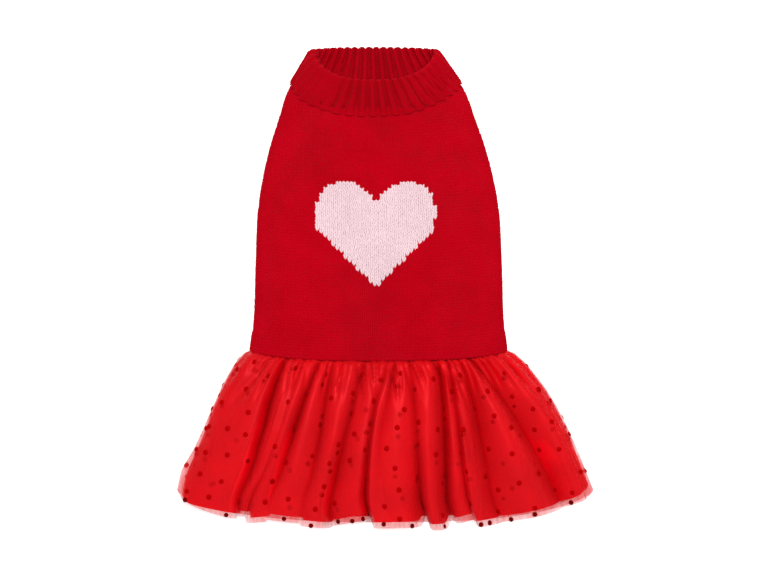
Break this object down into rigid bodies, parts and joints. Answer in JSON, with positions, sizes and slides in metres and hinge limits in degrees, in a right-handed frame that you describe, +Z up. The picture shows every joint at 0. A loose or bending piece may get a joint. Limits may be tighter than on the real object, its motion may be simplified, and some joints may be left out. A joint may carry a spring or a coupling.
{
  "type": "dog dress",
  "caption": "Knitted dog dress with a rolled ribbed collar, a knitted-in heart and a gathered skirt of satin under dotted tulle, laid flat.",
  "frame": {"origin": "bottom centre of the box of the whole dress as it lies, on the surface that it lies on", "axes": "+Z up from the surface, +Y from the hem towards the collar, +X to the dress's right as seen in the picture"},
  "size_m": [0.3452, 0.4032, 0.0533],
  "materials": {
    "red_rib": "matte ribbed knit",
    "red_knit": "matte plain knit",
    "pink_knit": "matte, slightly fuzzy plain knit",
    "red_satin": "soft sheen satin",
    "red_tulle": "sheer fine net with flocked dots"
  },
  "bodies": {
    "root": {"collar": "red_rib", "knit_body": "red_knit", "heart": "pink_knit", "satin_skirt": "red_satin", "tulle_overskirt": "red_tulle"}
  },
  "joints": []
}
